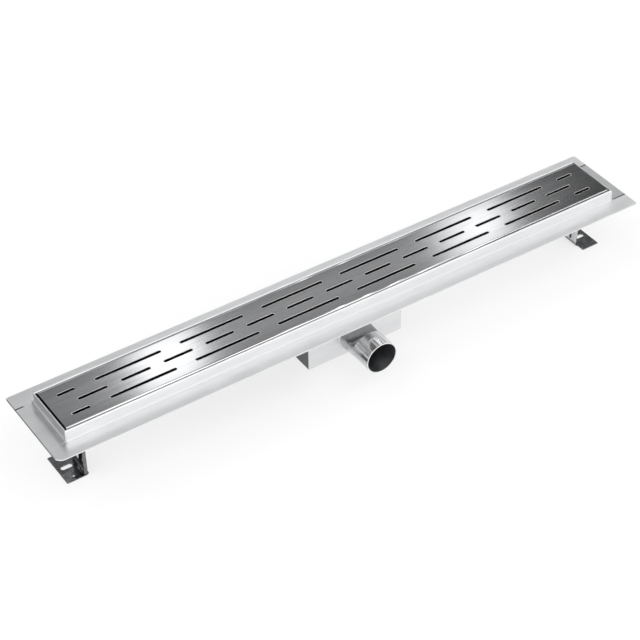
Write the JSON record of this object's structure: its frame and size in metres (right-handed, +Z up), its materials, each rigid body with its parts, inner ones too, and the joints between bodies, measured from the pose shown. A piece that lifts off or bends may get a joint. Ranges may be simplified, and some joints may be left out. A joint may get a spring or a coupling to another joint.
{
  "type": "linear shower drain",
  "caption": "Long steel shower channel with a slotted lift-out cover, tile flange, shallow water trap, side outlet pipe and two height-adjustable feet.",
  "frame": {"origin": "on the floor, midway between the screw slots of the two feet", "axes": "+X along the drain, -Y the way the outlet pipe points, +Z up to the cover"},
  "size_m": [0.742, 0.136, 0.084],
  "materials": {
    "cover_steel": "brushed along the cover",
    "channel_steel": "satin, bead blasted",
    "outlet_steel": "bright rolled tube",
    "foot_steel": "dull rolled sheet",
    "fastener_steel": "plain turned",
    "rubber": "matt",
    "trap_plastic": "fine matt moulding",
    "strainer_plastic": "fine matt moulding"
  },
  "bodies": {
    "channel": {"channel_body": "channel_steel", "cover": "cover_steel", "trap_box": "channel_steel", "outlet_pipe": "outlet_steel", "trap_gasket": "rubber", "trap_insert": "trap_plastic", "hair_strainer": "strainer_plastic", "end_wall_left": "channel_steel", "end_plate_left": "channel_steel", "foot_hanger_left": "foot_steel", "end_wall_right": "channel_steel", "end_plate_right": "channel_steel", "foot_hanger_right": "foot_steel", "foot_bolts": "fastener_steel", "foot_nuts": "fastener_steel", "foot_washers": "fastener_steel", "cover_bridge_1": "channel_steel", "bridge_shoe_1_front": "rubber", "bridge_shoe_1_back": "rubber", "cover_bridge_2": "channel_steel", "bridge_shoe_2_front": "rubber", "bridge_shoe_2_back": "rubber", "cover_bridge_3": "channel_steel", "bridge_shoe_3_front": "rubber", "bridge_shoe_3_back": "rubber", "cover_bridge_4": "channel_steel", "bridge_shoe_4_front": "rubber", "bridge_shoe_4_back": "rubber"},
    "foot_left": {"foot_bracket_left": "foot_steel"},
    "foot_right": {"foot_bracket_right": "foot_steel"}
  },
  "joints": [
    {"name": "foot_left_height", "type": "slide", "parent": "channel", "child": "foot_left", "axis": [0, 0, -1], "range_m": [-0.013, 0.0115]},
    {"name": "foot_right_height", "type": "slide", "parent": "channel", "child": "foot_right", "axis": [0, 0, -1], "range_m": [-0.013, 0.0115]}
  ]
}
